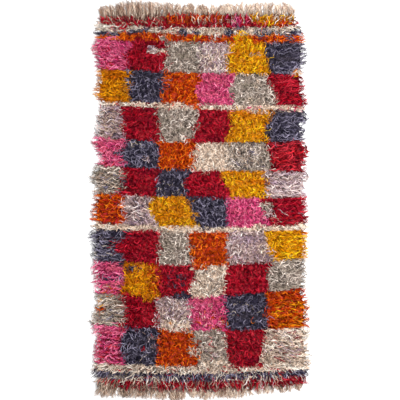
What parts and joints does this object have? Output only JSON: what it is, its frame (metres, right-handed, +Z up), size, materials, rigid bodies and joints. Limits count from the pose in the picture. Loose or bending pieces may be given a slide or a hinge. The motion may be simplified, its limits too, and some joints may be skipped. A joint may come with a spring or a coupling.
{
  "type": "wool rug",
  "caption": "Hand-knotted long-pile wool rug in squares of plain colour, with striped ends and a warp fringe at both ends, lying flat on the floor.",
  "frame": {"origin": "centre of the rug's footprint, on the floor that it lies on", "axes": "+X across the rug, +Y along its length towards the end with the orange band, +Z up out of the pile"},
  "size_m": [1.0725, 1.9259, 0.0358],
  "materials": {
    "wool_crimson": "long lustrous wool pile",
    "wool_gold": "long lustrous wool pile",
    "wool_orange": "long lustrous wool pile",
    "wool_pink": "long lustrous wool pile",
    "wool_navy": "long lustrous wool pile",
    "wool_silver": "long lustrous wool pile",
    "wool_mauve": "long lustrous wool pile",
    "wool_ivory": "long lustrous wool pile",
    "wool_warp": "undyed plied wool"
  },
  "bodies": {
    "root": {"shag_field": "wool_crimson", "fringe_top": "wool_warp", "fringe_bottom": "wool_warp"}
  },
  "joints": []
}
